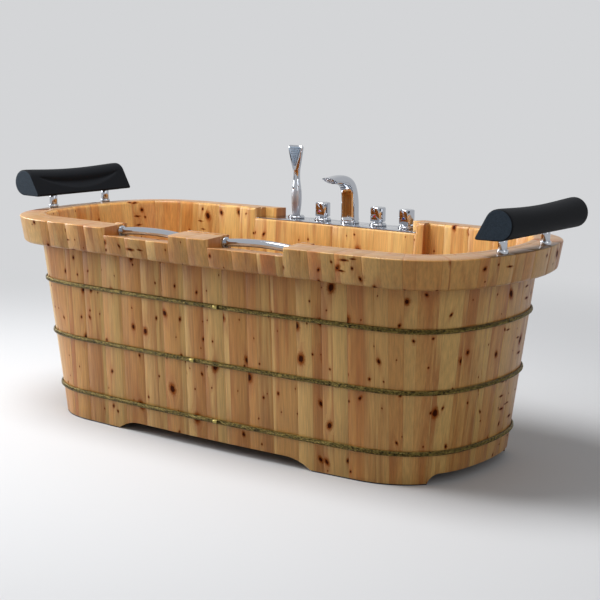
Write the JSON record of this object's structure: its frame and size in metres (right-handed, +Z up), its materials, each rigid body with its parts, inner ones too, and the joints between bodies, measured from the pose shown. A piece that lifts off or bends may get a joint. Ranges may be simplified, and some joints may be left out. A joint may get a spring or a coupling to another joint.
{
  "type": "wooden bathtub",
  "caption": "Oval bathtub of upright wooden staves with a wide rim, wire hoops, grab bars, head pillows, a deck tap set and a hand shower.",
  "frame": {"origin": "on the floor, at the middle of the tub", "axes": "+X along the tub's length, to the right when seen from the grab bars' side; +Y from the grab bars towards the taps; +Z up"},
  "size_m": [1.68, 0.7449, 0.771],
  "materials": {
    "staves": "satin clear finish over knotty softwood",
    "rim": "satin clear finish over knotty softwood",
    "rubber": "matt",
    "hoop_wire": "twisted wire rope, olive and gold",
    "chrome": "polished",
    "steel": "satin",
    "brass": "as machined",
    "copper": "drawn copper",
    "red_mark": "gloss",
    "blue_mark": "gloss",
    "pink_mark": "gloss",
    "grey_rubber": "matt",
    "foam": "fine-grained moulded skin",
    "black_plastic": "matt"
  },
  "bodies": {
    "tub": {"front_wall_staves": "staves", "rear_wall_staves": "staves", "left_end_staves": "staves", "right_end_staves": "staves", "front_rim_boards": "rim", "rear_rim_boards": "rim", "left_rim_boards": "rim", "right_rim_boards": "rim", "front_grab_rail": "staves", "rear_deck_apron": "staves", "rubber_foot_strips": "rubber", "top_hoop": "hoop_wire", "middle_hoop": "hoop_wire", "bottom_hoop": "hoop_wire", "hoop_ferrules": "hoop_wire", "floor_boards": "staves", "floor_battens": "staves", "left_grab_bar": "chrome", "right_grab_bar": "chrome", "grab_bar_flanges": "chrome", "grab_bar_screws": "steel", "deck_plate": "chrome", "tap_escutcheons": "chrome", "deck_nuts": "brass", "valve_bodies": "brass", "spout_body": "chrome", "spout_aerator": "steel", "spout_shank": "brass", "mixed_water_pipe": "copper", "spout_pipe": "copper", "shower_pipe": "copper", "inlet_tails": "brass", "hose_outlet": "brass", "shower_holder": "chrome", "left_pillow": "foam", "right_pillow": "foam", "pillow_mount_boards": "black_plastic", "pillow_posts": "chrome", "pillow_post_collars": "chrome", "pillow_post_studs": "steel", "drain_flange": "chrome", "drain_body": "brass", "overflow_plate": "chrome", "overflow_elbow": "black_plastic"},
    "hot_handle": {"hot_knob": "chrome", "hot_mark": "red_mark", "hot_spindle": "brass"},
    "cold_handle": {"cold_knob": "chrome", "cold_mark": "blue_mark", "cold_spindle": "brass"},
    "diverter_handle": {"diverter_knob": "chrome", "diverter_mark": "pink_mark", "diverter_spindle": "brass"},
    "hand_shower": {"shower_grip": "steel", "shower_head_shell": "chrome", "shower_nozzle_plate": "grey_rubber"},
    "waste_plug": {"drain_plug": "chrome"}
  },
  "joints": [
    {"name": "hot_turn", "type": "hinge", "parent": "tub", "child": "hot_handle", "pos_m": [0.109, 0.338, 0.58], "axis": [0, 0, 1], "range_deg": [0, 90]},
    {"name": "cold_turn", "type": "hinge", "parent": "tub", "child": "cold_handle", "pos_m": [0.208, 0.338, 0.58], "axis": [0, 0, 1], "range_deg": [0, 90]},
    {"name": "diverter_turn", "type": "hinge", "parent": "tub", "child": "diverter_handle", "pos_m": [-0.089, 0.338, 0.58], "axis": [0, 0, 1], "range_deg": [0, 90]},
    {"name": "hand_shower_lift", "type": "slide", "parent": "tub", "child": "hand_shower", "axis": [0, 0, 1], "range_m": [0, 0.25]},
    {"name": "plug_lift", "type": "slide", "parent": "tub", "child": "waste_plug", "axis": [0, 0, 1], "range_m": [0, 0.01]}
  ]
}
